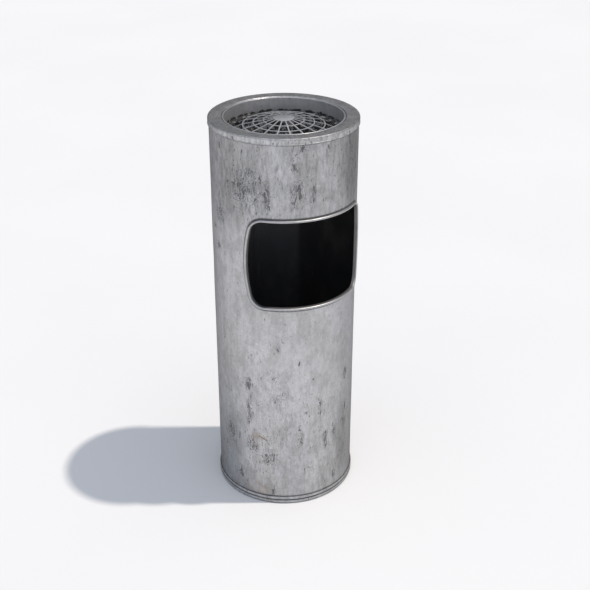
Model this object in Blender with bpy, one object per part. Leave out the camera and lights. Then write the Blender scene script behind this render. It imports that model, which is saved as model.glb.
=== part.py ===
"""Ashtray bin: a steel tube with a side opening, a lift-off top with an ash bowl, and a liner bucket.

Metres, +Z up. The origin is the centre of the underside, on the floor. The opening faces -Y.
"""

import math

import bmesh
import bpy
from mathutils import Matrix, Vector

# ---------------------------------------------------------------- driving dimensions

BODY_RADIUS = 0.124
TOTAL_HEIGHT = 0.700
SHELL_WALL = 0.0015
SHEET = 0.0012
GAP = 0.0003

SEGMENTS = 72
LINER_SEGMENTS = 48
BOWL_SEGMENTS = 54

# foot: a rubber ring on the floor, a double-beaded steel ring over it, and the floor of the tube
FOOT_OUTER_RADIUS = 0.1264
FOOT_INNER_RADIUS = 0.1244
FOOT_HEIGHT = 0.0148
FOOT_CLEARANCE = 0.0010
FOOT_BEAD = 0.0062
FLANGE_INNER_RADIUS = 0.1140
FLANGE_BOTTOM = 0.0028
FLANGE_TOP = 0.0043
RUBBER_INNER_RADIUS = 0.1130
RUBBER_OUTER_RADIUS = 0.1237
BASE_RADIUS = 0.1215
BASE_TOP = 0.0097

# waste opening, measured along the tube's surface to the trim's inner edge
OPENING_CENTRE_HEIGHT = 0.4823
OPENING_HALF_HEIGHT = 0.0767
OPENING_HALF_WIDTH = 0.1197
OPENING_SIDE_RADIUS = 0.236
OPENING_CORNER_RADIUS = 0.0236
TRIM_WEB = 0.0012
TRIM_BEAD_WIDTH = 0.0048
TRIM_BEAD_RISE = 0.0037
TRIM_INNER_FLANGE_WIDTH = 0.0045
TRIM_INNER_FLANGE = 0.0010

# top ring
RING_OUTER_RADIUS = 0.1259
RING_SKIRT = 0.0108
RING_EDGE_RADIUS = 0.0020
RING_MOUTH_RADIUS = 0.1029
RING_LEDGE_RADIUS = 0.1006
RING_LEDGE_DEPTH = 0.0035
CLIP_COUNT = 3
CLIP_WIDTH = 0.014
CLIP_SHEET = 0.0008

# ash bowl and grille
BOWL_RADIUS = 0.0990
BOWL_LOWER_RADIUS = 0.0930
BOWL_STEP_DEPTH = 0.0255
BOWL_DEPTH = 0.0720
BOWL_CORNER = 0.0130
BOWL_LIP_RADIUS = 0.0014
BOWL_LIP_DROP = 0.0005
GRILLE_HUB_RADIUS = 0.0173
GRILLE_HUB_DEPTH = 0.0055
GRILLE_SLOPE = 0.1965
GRILLE_RING_RADII = (0.0336, 0.0509, 0.0682)
GRILLE_BAND_RADIUS = 0.0885
GRILLE_OUTER_RADIUS = 0.0970
GRILLE_SPOKES = 18
GRILLE_TURN = math.radians(-15.4)
GRILLE_SPOKE_WIDTH = 0.0021
GRILLE_RING_WIDTH = 0.0018

# liner bucket
LINER_RADIUS = 0.1040
LINER_TOP = 0.2760
LINER_RIM_RADIUS = 0.0022
LINER_BASE_TOP = 0.0135
PIVOT_HEIGHT = 0.2540
EAR_INNER_X = 0.1046
EAR_THICKNESS = 0.0024
EAR_HALF_WIDTH = 0.012
EAR_TOP = 0.010
EAR_BOTTOM = -0.024
RIVET_RADIUS = 0.0020
RIVET_HEAD_RADIUS = 0.0038
RIVET_HEAD_HEIGHT = 0.0013
RIVET_OFFSET = (0.0075, -0.015)
HOLE_RADIUS = 0.00235
BAIL_RADIUS = 0.1145
BAIL_WIRE_RADIUS = 0.0020
BAIL_HOOK_TIP_X = 0.1051
BAIL_HOOK_BEND = 0.0040
BAIL_REST_ANGLE = math.radians(16.0)
GRIP_RADIUS = 0.0055
GRIP_HALF_ANGLE = math.radians(22.5)

# heights that follow from the driving dimensions
FLANGE_SEAT = FLANGE_TOP + GAP
SHELL_TOP = TOTAL_HEIGHT - SHELL_WALL - GAP
LEDGE_TOP = TOTAL_HEIGHT - RING_LEDGE_DEPTH
STEP_TOP = TOTAL_HEIGHT - BOWL_STEP_DEPTH
LINER_BOTTOM = BASE_TOP + GAP


# ---------------------------------------------------------------- general shape helpers

def clear_scene():
    for thing in list(bpy.data.objects):
        bpy.data.objects.remove(thing, do_unlink=True)


def make_material(name, colour, roughness, metallic):
    material = bpy.data.materials.new(name)
    material.use_nodes = True
    shader = material.node_tree.nodes["Principled BSDF"]
    shader.inputs["Base Color"].default_value = (*colour, 1.0)
    shader.inputs["Roughness"].default_value = roughness
    shader.inputs["Metallic"].default_value = metallic
    return material


def add_object(name, form, material, sharp_degrees=35.0):
    """Turn a bmesh into a named object, shaded smooth between its sharp edges."""
    bmesh.ops.recalc_face_normals(form, faces=form.faces)
    mesh = bpy.data.meshes.new(name)
    form.to_mesh(mesh)
    form.free()
    mesh.shade_smooth()
    mesh.set_sharp_from_angle(angle=math.radians(sharp_degrees))
    if material:
        mesh.materials.append(material)
    thing = bpy.data.objects.new(name, mesh)
    bpy.context.collection.objects.link(thing)
    return thing


def arc(centre, radius, start_degrees, end_degrees, steps, radius_z=None):
    """Points on an arc in the (radius, height) plane, both ends included."""
    tall = radius if radius_z is None else radius_z
    points = []
    for step in range(steps + 1):
        angle = math.radians(start_degrees + (end_degrees - start_degrees) * step / steps)
        points.append((centre[0] + radius * math.cos(angle), centre[1] + tall * math.sin(angle)))
    return points


def turned(name, profile, material, segments=SEGMENTS):
    """Spin a profile of (radius, height) points about Z. One that starts and ends on the axis stays open."""
    form = bmesh.new()
    verts = [form.verts.new((radius, 0.0, height)) for radius, height in profile]
    edges = [form.edges.new(pair) for pair in zip(verts, verts[1:])]
    if profile[0][0] > 0.0:
        edges.append(form.edges.new((verts[-1], verts[0])))
    bmesh.ops.spin(form, geom=verts + edges, cent=(0, 0, 0), axis=(0, 0, 1), dvec=(0, 0, 0),
                   angle=math.tau, steps=segments, use_merge=True)
    bmesh.ops.remove_doubles(form, verts=form.verts, dist=1e-6)
    return add_object(name, form, material)


def swept(form, rings, closed):
    """Join equal rings of points into a tube; an open one gets flat caps."""
    loops = [[form.verts.new(point) for point in ring] for ring in rings]
    pairs = list(zip(loops, loops[1:]))
    if closed:
        pairs.append((loops[-1], loops[0]))
    else:
        form.faces.new(loops[0])
        form.faces.new(loops[-1])
    count = len(loops[0])
    for near, far in pairs:
        for index in range(count):
            following = (index + 1) % count
            form.faces.new((near[index], near[following], far[following], far[index]))


def circle_about(point, tangent, side, radius, count):
    """A circle of points round a path point, square to its tangent."""
    other = tangent.cross(side).normalized()
    ring = []
    for step in range(count):
        angle = math.tau * step / count
        ring.append(point + side * (radius * math.cos(angle)) + other * (radius * math.sin(angle)))
    return ring


def prism(name, outline, thickness, matrix, material):
    """A flat plate: an outline in local X and Y, grown along local Z, then placed."""
    form = bmesh.new()
    rings = [[matrix @ Vector((x, y, level)) for x, y in outline] for level in (0.0, thickness)]
    swept(form, rings, closed=False)
    return add_object(name, form, material)


def cut(thing, cutter):
    """Cut one object with another that is left out of the model."""
    cutter.hide_render = True
    cutter.display_type = "WIRE"
    boolean = thing.modifiers.new("cut_" + cutter.name, "BOOLEAN")
    boolean.operation = "DIFFERENCE"
    boolean.object = cutter


# ---------------------------------------------------------------- the opening's outline

def opening_side(offset, corner_steps, side_steps):
    """The right-hand side from bottom to top, as (along, height, normal) about the opening's centre.

    The side is a shallow outward arc that two corner arcs join to the level top and bottom.
    """
    corner_rise = OPENING_HALF_HEIGHT - OPENING_CORNER_RADIUS
    reach = OPENING_SIDE_RADIUS - OPENING_CORNER_RADIUS
    side_centre = OPENING_HALF_WIDTH - OPENING_SIDE_RADIUS
    corner_centre = side_centre + math.sqrt(reach ** 2 - corner_rise ** 2)
    meeting = math.degrees(math.asin(corner_rise / reach))
    spans = (
        (corner_centre, -corner_rise, OPENING_CORNER_RADIUS, -90.0, -meeting, corner_steps),
        (side_centre, 0.0, OPENING_SIDE_RADIUS, -meeting, meeting, side_steps),
        (corner_centre, corner_rise, OPENING_CORNER_RADIUS, meeting, 90.0, corner_steps),
    )
    points = []
    for along, height, radius, start, end, steps in spans:
        for step in range(steps + 1):
            if points and step == 0:
                continue
            angle = math.radians(start + (end - start) * step / steps)
            normal = (math.cos(angle), math.sin(angle))
            grown = radius + offset
            points.append((along + grown * normal[0], height + grown * normal[1], normal))
    return points


def opening_loop(corner_steps, side_steps, level_steps):
    """The whole outline, once round."""
    right = opening_side(0.0, corner_steps, side_steps)
    half = right[-1][0]
    level = [half - 2.0 * half * step / level_steps for step in range(1, level_steps)]
    loop = list(right)
    loop += [(along, right[-1][1], (0.0, 1.0)) for along in level]
    loop += [(-along, height, (-normal[0], normal[1])) for along, height, normal in reversed(right)]
    loop += [(-along, right[0][1], (0.0, -1.0)) for along in level]
    return loop


def on_tube(along, height, radius):
    """A point by its distance along the tube's surface from the opening's centre line."""
    turn = along / BODY_RADIUS
    return Vector((radius * math.sin(turn), -radius * math.cos(turn), OPENING_CENTRE_HEIGHT + height))


# ---------------------------------------------------------------- tube, trim and foot

def make_opening_cutter():
    """A curved block with the opening's outline, a little thicker than the tube's wall."""
    columns = 24
    rows = opening_side(TRIM_WEB + GAP, corner_steps=7, side_steps=6)
    form = bmesh.new()
    skins = []
    for radius in (BODY_RADIUS - 2.5 * SHELL_WALL, BODY_RADIUS + 2.0 * SHELL_WALL):
        skin = []
        for along, height, _ in rows:
            places = [along * (2.0 * column / columns - 1.0) for column in range(columns + 1)]
            skin.append([form.verts.new(on_tube(place, height, radius)) for place in places])
        skins.append(skin)
    for skin in skins:
        for low, high in zip(skin, skin[1:]):
            for column in range(columns):
                form.faces.new((low[column], low[column + 1], high[column + 1], high[column]))
    inner, outer = skins
    for row in (0, -1):
        for column in range(columns):
            form.faces.new((inner[row][column], inner[row][column + 1],
                            outer[row][column + 1], outer[row][column]))
    for row in range(len(rows) - 1):
        for column in (0, -1):
            form.faces.new((inner[row][column], inner[row + 1][column],
                            outer[row + 1][column], outer[row][column]))
    return add_object("opening_cutter", form, None)


def make_body_shell(material):
    inner = BODY_RADIUS - SHELL_WALL
    profile = [(BODY_RADIUS, SHELL_TOP), (BODY_RADIUS, FLANGE_SEAT), (inner, FLANGE_SEAT), (inner, SHELL_TOP)]
    shell = turned("body_shell", profile, material)
    cut(shell, make_opening_cutter())


def make_aperture_trim(material):
    """A U-shaped edging: a half-round bead outside, a web through the hole, a thin flange inside."""
    bead_seat = BODY_RADIUS + GAP
    flange_face = BODY_RADIUS - SHELL_WALL - GAP
    flange_back = flange_face - TRIM_INNER_FLANGE
    half = TRIM_BEAD_WIDTH / 2
    section = [(0.0, flange_back), (TRIM_INNER_FLANGE_WIDTH, flange_back)]
    section += [(TRIM_INNER_FLANGE_WIDTH, flange_face), (TRIM_WEB, flange_face), (TRIM_WEB, bead_seat)]
    section += arc((half, bead_seat), half, 0, 180, 5, radius_z=TRIM_BEAD_RISE)
    rings = []
    for along, height, normal in opening_loop(corner_steps=7, side_steps=6, level_steps=18):
        ring = [on_tube(along + normal[0] * out, height + normal[1] * out, radius) for out, radius in section]
        rings.append(ring)
    form = bmesh.new()
    swept(form, rings, closed=True)
    add_object("aperture_trim", form, material)


def make_foot_ring(material):
    bead_base = FOOT_INNER_RADIUS + 0.0003
    bulge = FOOT_OUTER_RADIUS - bead_base
    half = FOOT_BEAD / 2
    upper = arc((bead_base, FOOT_HEIGHT - half), bulge, 90, -90, 4, radius_z=half)
    lower = arc((bead_base, FOOT_CLEARANCE + half), bulge, 90, -90, 4, radius_z=half)
    groove = (upper[-1][1] + lower[0][1]) / 2
    profile = [(FOOT_INNER_RADIUS, FOOT_HEIGHT)] + upper[:-1] + [(bead_base + 0.0005, groove)] + lower[1:]
    profile += [(FOOT_INNER_RADIUS - 0.0002, FOOT_CLEARANCE), (FOOT_INNER_RADIUS - 0.0002, FLANGE_BOTTOM)]
    profile += [(FLANGE_INNER_RADIUS, FLANGE_BOTTOM), (FLANGE_INNER_RADIUS, FLANGE_TOP)]
    profile += [(FOOT_INNER_RADIUS, FLANGE_TOP)]
    turned("foot_ring", profile, material)


def make_floor_ring(material):
    top = FLANGE_BOTTOM - GAP
    profile = [(RUBBER_OUTER_RADIUS, top), (RUBBER_OUTER_RADIUS, 0.0)]
    profile += [(RUBBER_INNER_RADIUS, 0.0), (RUBBER_INNER_RADIUS, top)]
    turned("floor_ring", profile, material)


def make_base_plate(material):
    rim = BASE_RADIUS - SHEET
    profile = [(0.0, BASE_TOP), (BASE_RADIUS - 0.001, BASE_TOP), (BASE_RADIUS, BASE_TOP - 0.001)]
    profile += [(BASE_RADIUS, FLANGE_SEAT), (rim, FLANGE_SEAT), (rim, BASE_TOP - SHEET)]
    profile += [(0.0, BASE_TOP - SHEET)]
    turned("base_plate", profile, material, segments=LINER_SEGMENTS)


# ---------------------------------------------------------------- top ring, bowl and grille

def make_top_ring(material):
    """A spun cap: a skirt over the tube, a level brim, and a turned-in ledge for the bowl's lip."""
    inner_skirt = RING_OUTER_RADIUS - SHELL_WALL
    skirt_bottom = TOTAL_HEIGHT - RING_SKIRT
    hem = SHELL_WALL / 2
    brim_under = TOTAL_HEIGHT - SHELL_WALL
    edge = RING_EDGE_RADIUS
    profile = arc((RING_OUTER_RADIUS - edge, TOTAL_HEIGHT - edge), edge, 90, 0, 3)
    profile += arc((RING_OUTER_RADIUS - hem, skirt_bottom + hem), hem, 0, -180, 3)
    profile += [(inner_skirt, brim_under), (RING_MOUTH_RADIUS + SHELL_WALL, brim_under)]
    profile += [(RING_MOUTH_RADIUS + SHELL_WALL, LEDGE_TOP - SHELL_WALL)]
    profile += [(RING_LEDGE_RADIUS, LEDGE_TOP - SHELL_WALL), (RING_LEDGE_RADIUS, LEDGE_TOP)]
    profile += [(RING_MOUTH_RADIUS, LEDGE_TOP)]
    profile += arc((RING_MOUTH_RADIUS + edge, TOTAL_HEIGHT - edge), edge, 180, 90, 3)
    turned("top_ring", profile, material)


def make_ring_clips(material):
    """Spring clips hang from the brim and bow outward against the inside of the tube."""
    seat = TOTAL_HEIGHT - SHELL_WALL - GAP
    half = CLIP_SHEET / 2
    leg = 0.1190
    bow = 0.1212
    outline = [(0.1085, seat), (leg + half, seat), (bow + half, seat - 0.013)]
    outline += [(leg, seat - 0.026), (leg - CLIP_SHEET, seat - 0.026), (bow - half, seat - 0.013)]
    outline += [(leg - half, seat - CLIP_SHEET), (0.1085, seat - CLIP_SHEET)]
    for number in range(CLIP_COUNT):
        turn = Matrix.Rotation(math.tau * number / CLIP_COUNT + math.pi / 2, 4, "Z")
        upright = Matrix.Rotation(math.pi / 2, 4, "X")
        centred = Matrix.Translation((0.0, CLIP_WIDTH / 2, 0.0))
        prism(f"ring_clip_{number + 1}", outline, CLIP_WIDTH, turn @ centred @ upright, material)


def make_ash_bowl(material):
    """A pressed bowl with a rolled lip, and a step in its wall that carries the grille."""
    lip_centre = (BOWL_RADIUS + BOWL_LIP_RADIUS, TOTAL_HEIGHT - BOWL_LIP_DROP - BOWL_LIP_RADIUS)
    outer = BOWL_RADIUS + SHEET
    floor = TOTAL_HEIGHT - BOWL_DEPTH
    bottom_corner = (BOWL_LOWER_RADIUS - BOWL_CORNER, floor + BOWL_CORNER)
    profile = [(0.0, floor)]
    profile += arc(bottom_corner, BOWL_CORNER, -90, 0, 3)
    profile += [(BOWL_LOWER_RADIUS, STEP_TOP), (BOWL_RADIUS, STEP_TOP)]
    profile += arc(lip_centre, BOWL_LIP_RADIUS, 180, 0, 4)
    profile += [(lip_centre[0] + BOWL_LIP_RADIUS, LEDGE_TOP + GAP), (outer, LEDGE_TOP + GAP)]
    profile += [(outer, STEP_TOP - SHEET), (BOWL_LOWER_RADIUS + SHEET, STEP_TOP - SHEET)]
    profile += arc(bottom_corner, BOWL_CORNER + SHEET, 0, -90, 3)
    profile += [(0.0, floor - SHEET)]
    turned("ash_bowl", profile, material, segments=BOWL_SEGMENTS)


def make_grille(material):
    """A stamped web: a flat hub, spokes and rings on a gentle dome, then a steeper drop to a flat band."""
    half_ring = GRILLE_RING_WIDTH / 2
    hub_top = TOTAL_HEIGHT - GRILLE_HUB_DEPTH
    band_top = STEP_TOP + GAP + SHEET
    knee_radius = GRILLE_RING_RADII[-1] + half_ring
    knee_top = hub_top - GRILLE_SLOPE * (knee_radius - GRILLE_HUB_RADIUS)
    outer_slope = (knee_top - band_top) / (GRILLE_BAND_RADIUS - knee_radius)
    arc_steps = 2

    radii = [GRILLE_HUB_RADIUS]
    for radius in GRILLE_RING_RADII:
        radii += [radius - half_ring, radius + half_ring]
    radii += [GRILLE_BAND_RADIUS, GRILLE_OUTER_RADIUS]

    def point(radius, angle):
        height = hub_top - GRILLE_SLOPE * (radius - GRILLE_HUB_RADIUS)
        if radius > knee_radius:
            height = knee_top - outer_slope * (min(radius, GRILLE_BAND_RADIUS) - knee_radius)
        return (radius * math.sin(angle), -radius * math.cos(angle), height)

    form = bmesh.new()
    pitch = math.tau / GRILLE_SPOKES
    columns = []
    for spoke in range(GRILLE_SPOKES):
        middle = GRILLE_TURN + pitch * spoke
        for part in range(arc_steps + 1):
            column = []
            for radius in radii:
                half_spoke = math.asin(GRILLE_SPOKE_WIDTH / 2 / radius)
                span = pitch - 2.0 * half_spoke
                column.append(form.verts.new(point(radius, middle + half_spoke + span * part / arc_steps)))
            columns.append(column)
    for index, column in enumerate(columns):
        following = columns[(index + 1) % len(columns)]
        is_spoke = index % (arc_steps + 1) == arc_steps
        for level in range(len(radii) - 1):
            is_ring = level % 2 == 1
            if is_spoke or is_ring:
                form.faces.new((column[level], following[level], following[level + 1], column[level + 1]))
    form.faces.new([column[0] for column in columns])
    grille = add_object("grille", form, material)
    thick = grille.modifiers.new("sheet", "SOLIDIFY")
    thick.thickness = SHEET
    thick.offset = -1.0


# ---------------------------------------------------------------- liner bucket

def rivet_places():
    """(name, side, y, height) of each rivet; side is -1 on the left and 1 on the right."""
    across, drop = RIVET_OFFSET
    for side, word in ((-1, "left"), (1, "right")):
        for number, y in ((1, -across), (2, across)):
            yield f"ear_rivet_{word}_{number}", side, y, PIVOT_HEIGHT + drop


def round_bar(name, profile, side, y, height, material):
    """Turn a profile of (radius, distance out along X) points and set it on one side of the bucket."""
    form = bmesh.new()
    verts = [form.verts.new((radius, 0.0, out)) for radius, out in profile]
    edges = [form.edges.new(pair) for pair in zip(verts, verts[1:])]
    bmesh.ops.spin(form, geom=verts + edges, cent=(0, 0, 0), axis=(0, 0, 1), dvec=(0, 0, 0),
                   angle=math.tau, steps=12, use_merge=True)
    bmesh.ops.remove_doubles(form, verts=form.verts, dist=1e-6)
    lay_down = Matrix.Rotation(math.pi / 2 * side, 4, "Y")
    bmesh.ops.transform(form, matrix=Matrix.Translation((0.0, y, height)) @ lay_down, verts=form.verts)
    return add_object(name, form, material)


def make_liner_wall(material):
    inner = LINER_RADIUS - SHEET
    rim_centre = (LINER_RADIUS + 0.0005, LINER_TOP - LINER_RIM_RADIUS)
    profile = [(LINER_RADIUS, rim_centre[1] - LINER_RIM_RADIUS), (LINER_RADIUS, LINER_BOTTOM)]
    profile += [(inner, LINER_BOTTOM), (inner, rim_centre[1])]
    profile += arc(rim_centre, LINER_RIM_RADIUS, 150, -75, 7)
    wall = turned("inner_liner", profile, material, segments=LINER_SEGMENTS)
    for name, side, y, height in rivet_places():
        ends = (LINER_RADIUS - 0.006, LINER_RADIUS + 0.004)
        bar = [(0.0, ends[0]), (HOLE_RADIUS, ends[0]), (HOLE_RADIUS, ends[1]), (0.0, ends[1])]
        cut(wall, round_bar(name.replace("ear_rivet", "wall_hole"), bar, side, y, height, None))


def make_liner_base(material):
    edge = LINER_RADIUS - SHEET - GAP
    profile = [(0.0, LINER_BASE_TOP), (edge - 0.001, LINER_BASE_TOP), (edge, LINER_BASE_TOP - 0.001)]
    profile += [(edge, LINER_BOTTOM), (edge - SHEET, LINER_BOTTOM), (edge - SHEET, LINER_BASE_TOP - SHEET)]
    profile += [(0.0, LINER_BASE_TOP - SHEET)]
    turned("liner_base", profile, material, segments=LINER_SEGMENTS)


def make_liner_ears(material):
    """Flat plates, round at the top, with one hole for the bail and two for the rivets."""
    top = arc((0.0, EAR_TOP - EAR_HALF_WIDTH), EAR_HALF_WIDTH, 0, 180, 8)
    corner = 0.004
    low = EAR_BOTTOM + corner
    outline = top + arc((corner - EAR_HALF_WIDTH, low), corner, 180, 270, 3)
    outline += arc((EAR_HALF_WIDTH - corner, low), corner, 270, 360, 3)
    for side, word in ((-1, "left"), (1, "right")):
        rows = ((0, 0, side, side * EAR_INNER_X), (1, 0, 0, 0), (0, 1, 0, PIVOT_HEIGHT), (0, 0, 0, 1))
        stand = Matrix(rows)
        ear = prism(f"liner_ear_{word}", outline, EAR_THICKNESS, stand, material)
        ends = (EAR_INNER_X - 0.002, EAR_INNER_X + EAR_THICKNESS + 0.002)
        bar = [(0.0, ends[0]), (HOLE_RADIUS, ends[0]), (HOLE_RADIUS, ends[1]), (0.0, ends[1])]
        cut(ear, round_bar(f"pivot_hole_{word}", bar, side, 0.0, PIVOT_HEIGHT, None))
        for name, rivet_side, y, height in rivet_places():
            if rivet_side == side:
                cut(ear, round_bar(name.replace("ear_rivet", "ear_hole"), bar, side, y, height, None))


def make_ear_rivets(material):
    """Solid rivets through the ear and the wall, with a head at each end."""
    outer_seat = EAR_INNER_X + EAR_THICKNESS + GAP
    inner_seat = LINER_RADIUS - SHEET - 0.0010
    head = RIVET_HEAD_RADIUS
    rise = RIVET_HEAD_HEIGHT
    for name, side, y, height in rivet_places():
        profile = [(0.0, inner_seat - rise), (head, inner_seat - rise), (head, inner_seat)]
        profile += [(RIVET_RADIUS, inner_seat), (RIVET_RADIUS, outer_seat), (head, outer_seat)]
        profile += [(head * 0.8, outer_seat + rise * 0.7), (0.0, outer_seat + rise)]
        round_bar(name, profile, side, y, height, material)


def bail_point(angle, radius=BAIL_RADIUS):
    """A point on the bail's half circle at rest, from the right-hand pivot round by the front."""
    reach = radius * math.sin(angle)
    lean = BAIL_REST_ANGLE
    return Vector((radius * math.cos(angle), -reach * math.cos(lean), -reach * math.sin(lean)))


def bail_tangent(angle):
    step = 1e-4
    return (bail_point(angle + step) - bail_point(angle - step)).normalized()


def make_liner_handle(wire_material, grip_material):
    """The bail and its grip hang from an empty on the pivot axis."""
    pivot = bpy.data.objects.new("bail_pivot", None)
    pivot.location = (0.0, 0.0, PIVOT_HEIGHT)
    bpy.context.collection.objects.link(pivot)
    square = Vector((0.0, -math.sin(BAIL_REST_ANGLE), math.cos(BAIL_REST_ANGLE)))

    bend = BAIL_HOOK_BEND
    lead = math.asin(bend / BAIL_RADIUS)
    elbow = Vector((BAIL_RADIUS - bend, 0.0, 0.0))
    toward = bail_point(math.pi / 2).normalized()
    hook = [Vector((BAIL_HOOK_TIP_X, 0.0, 0.0))]
    for degrees in (0.0, 30.0, 60.0):
        turn = math.radians(degrees)
        sideways = Vector((bend * math.sin(turn), 0.0, 0.0))
        hook.append(elbow + sideways + toward * (bend - bend * math.cos(turn)))
    steps = 36
    arch = [bail_point(lead + (math.pi - 2.0 * lead) * step / steps) for step in range(steps + 1)]
    mirrored = [Vector((-point.x, point.y, point.z)) for point in reversed(hook)]
    path = hook + arch + mirrored
    rings = []
    for index, point in enumerate(path):
        before = path[max(index - 1, 0)]
        after = path[min(index + 1, len(path) - 1)]
        rings.append(circle_about(point, (after - before).normalized(), square, BAIL_WIRE_RADIUS, 8))
    form = bmesh.new()
    swept(form, rings, closed=False)
    add_object("liner_handle", form, wire_material).parent = pivot

    stations = 10
    outer = []
    inner = []
    for station in range(stations + 1):
        share = 2.0 * station / stations - 1.0
        angle = math.pi / 2 + GRIP_HALF_ANGLE * share
        belly = GRIP_RADIUS * (1.0 - 0.15 * share ** 2)
        outer.append(circle_about(bail_point(angle), bail_tangent(angle), square, belly, 12))
        inner.append(circle_about(bail_point(angle), bail_tangent(angle), square, BAIL_WIRE_RADIUS + GAP, 12))
    form = bmesh.new()
    swept(form, outer + list(reversed(inner)), closed=True)
    add_object("handle_grip", form, grip_material).parent = pivot


# ---------------------------------------------------------------- the whole bin

def build():
    clear_scene()
    steel = make_material("weathered_steel", (0.42, 0.42, 0.43), 0.50, 0.60)
    trim_steel = make_material("trim_steel", (0.55, 0.55, 0.56), 0.35, 0.90)
    bowl_steel = make_material("bowl_steel", (0.40, 0.40, 0.42), 0.40, 0.80)
    black_paint = make_material("black_paint", (0.02, 0.02, 0.022), 0.45, 0.10)
    bright_rivet = make_material("bright_rivet", (0.60, 0.60, 0.60), 0.35, 0.90)
    rubber = make_material("black_rubber", (0.025, 0.025, 0.025), 0.85, 0.00)
    plastic = make_material("black_plastic", (0.03, 0.03, 0.03), 0.50, 0.00)

    make_body_shell(steel)
    make_aperture_trim(trim_steel)
    make_foot_ring(steel)
    make_floor_ring(rubber)
    make_base_plate(black_paint)
    make_top_ring(steel)
    make_ring_clips(bright_rivet)
    make_ash_bowl(bowl_steel)
    make_grille(bowl_steel)
    make_liner_wall(black_paint)
    make_liner_base(black_paint)
    make_liner_ears(black_paint)
    make_ear_rivets(bright_rivet)
    make_liner_handle(black_paint, plastic)


build()
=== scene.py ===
"""Looks of the ashtray bin: weathered metal, a web grille, a black liner, on a plain pale floor."""

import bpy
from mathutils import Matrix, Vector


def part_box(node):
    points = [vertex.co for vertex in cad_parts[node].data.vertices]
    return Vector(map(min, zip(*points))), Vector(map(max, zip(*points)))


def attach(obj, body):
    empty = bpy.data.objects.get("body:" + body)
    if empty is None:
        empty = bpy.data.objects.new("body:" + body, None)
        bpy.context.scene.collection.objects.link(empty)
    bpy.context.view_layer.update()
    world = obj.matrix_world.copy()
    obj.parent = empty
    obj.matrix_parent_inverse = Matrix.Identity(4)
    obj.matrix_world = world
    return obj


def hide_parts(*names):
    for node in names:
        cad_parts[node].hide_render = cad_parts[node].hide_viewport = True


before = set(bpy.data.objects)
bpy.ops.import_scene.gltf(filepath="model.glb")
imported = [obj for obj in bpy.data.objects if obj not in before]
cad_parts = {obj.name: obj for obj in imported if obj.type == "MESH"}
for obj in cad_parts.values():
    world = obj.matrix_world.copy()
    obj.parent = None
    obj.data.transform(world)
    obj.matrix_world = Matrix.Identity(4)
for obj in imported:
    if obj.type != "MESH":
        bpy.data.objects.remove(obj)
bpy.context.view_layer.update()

import math

import bmesh
import bpy
from mathutils import Matrix, Vector, noise
from mathutils.geometry import delaunay_2d_cdt

# ---------------------------------------------------------------- sizes, from the frame's boxes

shell_low, shell_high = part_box("body_shell")
ring_low, ring_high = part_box("top_ring")
foot_low, foot_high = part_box("foot_ring")
rubber_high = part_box("floor_ring")[1]
trim_low, trim_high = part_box("aperture_trim")
bowl_low, bowl_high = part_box("ash_bowl")
grille_low, grille_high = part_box("grille")
liner_low, liner_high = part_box("inner_liner")
liner_base_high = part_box("liner_base")[1]
base_low, base_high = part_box("base_plate")

TUBE_RADIUS = shell_high.x
TUBE_BOTTOM = shell_low.z
TUBE_TOP = shell_high.z
TOTAL_HEIGHT = ring_high.z
WALL = 0.0015
SHEET = 0.0012
GAP = 0.0003

# the opening, as the CAD model has it: the trim's bead is 4.8 mm wide
BEAD_WIDTH = 0.0048
BEAD_RISE = -trim_low.y - TUBE_RADIUS - GAP
TRIM_WEB = 0.0012
OPENING_HEIGHT = (trim_low.z + trim_high.z) / 2
OPENING_HALF_HEIGHT = (trim_high.z - trim_low.z) / 2 - BEAD_WIDTH
OPENING_HALF_WIDTH = 0.1197
OPENING_SIDE_RADIUS = 0.236
OPENING_CORNER_RADIUS = 0.0236
BACK = math.pi * TUBE_RADIUS
SOOT_TOP = TOTAL_HEIGHT - 0.0180
SOOT_BOTTOM = TOTAL_HEIGHT - 0.0235

# the colours of wear and dirt, and of painted light and shade
DULL_PATCH = (0.505, 0.503, 0.503)
SMUDGE = (0.30, 0.295, 0.29)
RUST = (0.38, 0.27, 0.19)
# painted highlight: the chips' raised rims painted lighter
CHIP_RIM_HIGHLIGHT = (0.78, 0.78, 0.79)
LIFTED_EDGE = (0.17, 0.17, 0.17)
DEEP_CHIP = (0.10, 0.098, 0.096)
# painted shadow and shade along the joins
SEAM_DIRT_AND_SHADE = (0.085, 0.083, 0.080)
# painted shade on the trim's flanks, mixed with dirt spots
TRIM_DIRT_AND_SHADE = (0.10, 0.098, 0.095)
SOOT = (0.030, 0.029, 0.028)
# painted light: a lighter film on one side of the tube's inside, where light falls in through the opening
PAINTED_INSIDE_LIGHT = (0.62, 0.62, 0.66)

# painted shade: a dark specular tint dims the metal's reflections at a glancing angle, so the sides come
# out darker
EDGE_SHADE_TINT = (0.06, 0.06, 0.065, 1.0)

# the camera's and the sun's directions, counted from the opening's middle (-Y) towards +X
CAMERA_TURN = math.radians(-25.4)
SUN_TURN = CAMERA_TURN + math.radians(90.0)
SUN_ELEVATION = math.radians(66.8)
# painted light: the inside's lighter half ends at this angle
INSIDE_LIGHT_EDGE = math.radians(142.0)

# how deep a listed mark reaches through the tube, so that it never shows on the far side
MARK_REACH = 0.020


def around(turn, radius, height):
    """A point at an angle from -Y towards +X."""
    return Vector((radius * math.sin(turn), -radius * math.cos(turn), height))


# ---------------------------------------------------------------- node materials

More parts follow.
